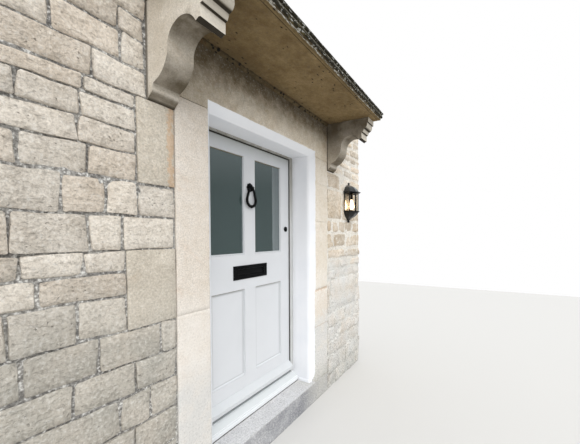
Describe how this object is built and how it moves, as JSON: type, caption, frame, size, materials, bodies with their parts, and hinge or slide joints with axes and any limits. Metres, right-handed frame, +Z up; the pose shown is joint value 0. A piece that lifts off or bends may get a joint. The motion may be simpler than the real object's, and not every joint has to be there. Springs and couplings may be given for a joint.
{
  "type": "entrance porch",
  "caption": "Doorway in a rubble wall with a dressed stone surround, a flat moulded hood on scroll brackets, a half-glazed timber door, a knocker, a letter plate and a wall lantern.",
  "frame": {"origin": "on the ground, below the middle of the doorway, in the plane of the wall's outer face, which is the middle of the part's bounding box", "axes": "+X to the right along the wall as seen from the street, +Y into the house, +Z up"},
  "size_m": [3, 0.96, 2.85],
  "materials": {
    "rubble": "rough",
    "dressed_stone": "fine rough",
    "lintel_stone": "fine rough, stained",
    "hood_stone": "weathered, with lichen",
    "step_stone": "rough",
    "painted_timber": "satin paint",
    "dark_glass": "clear",
    "black_iron": "black paint",
    "hinge_steel": "dull",
    "black_enamel": "gloss black",
    "clear_glass": "clear",
    "lamp_plastic": "matt",
    "lit_bulb": "lit, warm"
  },
  "bodies": {
    "building": {"wall_left": "rubble", "wall_right": "rubble", "wall_over": "rubble", "jamb_left": "dressed_stone", "jamb_right": "dressed_stone", "lintel": "lintel_stone", "threshold": "step_stone", "hood": "hood_stone", "bracket_left": "lintel_stone", "bracket_right": "lintel_stone", "frame_jamb_left": "painted_timber", "frame_jamb_right": "painted_timber", "frame_head": "painted_timber", "timber_sill": "painted_timber", "hinge_frame_side": "hinge_steel", "lantern_back": "black_enamel", "lantern_roof": "black_enamel", "lantern_cage": "black_enamel", "lantern_glass": "clear_glass", "lantern_bowl": "black_enamel", "lamp_holder": "lamp_plastic", "lamp_bulb": "lit_bulb"},
    "door": {"stile_hinge": "painted_timber", "stile_lock": "painted_timber", "top_rail": "painted_timber", "mid_rail": "painted_timber", "bottom_rail": "painted_timber", "muntin_upper": "painted_timber", "muntin_lower": "painted_timber", "pane_left": "dark_glass", "pane_right": "dark_glass", "bead_left": "painted_timber", "bead_right": "painted_timber", "panel_left": "painted_timber", "panel_right": "painted_timber", "moulding_left": "painted_timber", "moulding_right": "painted_timber", "weatherboard": "painted_timber", "hinge_door_side": "hinge_steel", "letter_plate": "black_iron", "knocker_rose": "black_iron", "lock_cylinder": "black_iron"},
    "flap": {"letter_flap": "black_iron"},
    "knocker": {"knocker_ring": "black_iron"}
  },
  "joints": [
    {"name": "door_swing", "type": "hinge", "parent": "building", "child": "door", "pos_m": [-0.4815, 0.268, 0.246], "axis": [0, 0, 1], "range_deg": [0, 90]},
    {"name": "letter_flap_swing", "type": "hinge", "parent": "door", "child": "flap", "pos_m": [0, 0.223, 1.184], "axis": [1, 0, 0], "range_deg": [0, 75], "stiffness_Nm_per_rad": 0.05, "springref_deg": -17.19},
    {"name": "knocker_swing", "type": "hinge", "parent": "door", "child": "knocker", "pos_m": [-0.008, 0.201, 1.755], "axis": [-1, 0, 0], "range_deg": [0, 90]}
  ]
}
